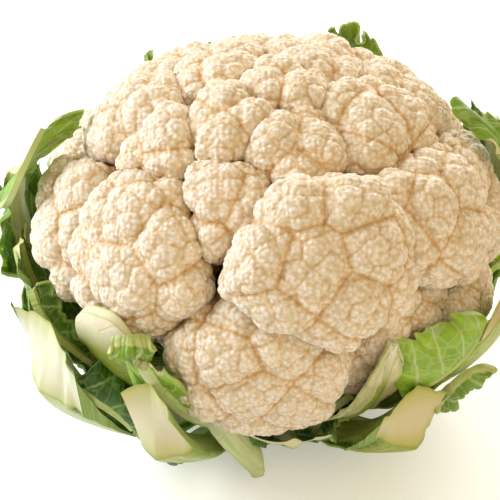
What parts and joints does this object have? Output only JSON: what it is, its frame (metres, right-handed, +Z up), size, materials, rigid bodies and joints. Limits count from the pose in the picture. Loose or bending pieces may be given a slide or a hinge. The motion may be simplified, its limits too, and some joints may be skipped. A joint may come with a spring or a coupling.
{
  "type": "cauliflower head, trimmed, standing on its cut stem",
  "caption": "White cauliflower head with separate florets on one stem and trimmed green leaves cupping it from below.",
  "frame": {"origin": "centre of the cut face at the foot of the stem, on the surface that the head stands on", "axes": "+Z up along the stem, -Y to the front where the largest floret stands proud, +X to the right"},
  "size_m": [0.2153, 0.2009, 0.154],
  "materials": {
    "curd": "matte",
    "stem": "satin",
    "leaf": "satin"
  },
  "bodies": {
    "root": {"floret_back_1": "curd", "floret_back_2": "curd", "floret_back_3": "curd", "floret_back_4": "curd", "floret_back_5": "curd", "floret_back_6": "curd", "floret_back_low_1": "curd", "floret_back_low_2": "curd", "floret_back_low_3": "curd", "floret_back_low_4": "curd", "floret_back_low_5": "curd", "floret_back_low_6": "curd", "floret_centre": "curd", "floret_front_left": "curd", "floret_front_left_low": "curd", "floret_front_low": "curd", "floret_front_proud": "curd", "floret_front_right": "curd", "floret_front_right_low": "curd", "floret_left": "curd", "floret_left_low": "curd", "floret_top_back": "curd", "floret_top_front": "curd", "floret_top_left": "curd", "floret_upper_back_1": "curd", "floret_upper_back_2": "curd", "floret_upper_back_3": "curd", "floret_upper_back_4": "curd", "floret_upper_centre": "curd", "floret_upper_front_left": "curd", "floret_upper_left": "curd", "floret_upper_right": "curd", "floret_upper_small": "curd", "leaf_back": "leaf", "leaf_back_right": "leaf", "leaf_front_left": "leaf", "leaf_inner_left": "leaf", "leaf_inner_right": "leaf", "leaf_inner_side": "leaf", "leaf_left": "leaf", "leaf_left_back": "leaf", "leaf_outer_back_left": "leaf", "leaf_outer_back_right": "leaf", "leaf_outer_front": "leaf", "leaf_outer_front_left": "leaf", "leaf_outer_left": "leaf", "leaf_outer_left_front": "leaf", "leaf_outer_right": "leaf", "leaf_outer_right_front": "leaf", "leaf_right": "leaf", "stem": "stem"}
  },
  "joints": []
}
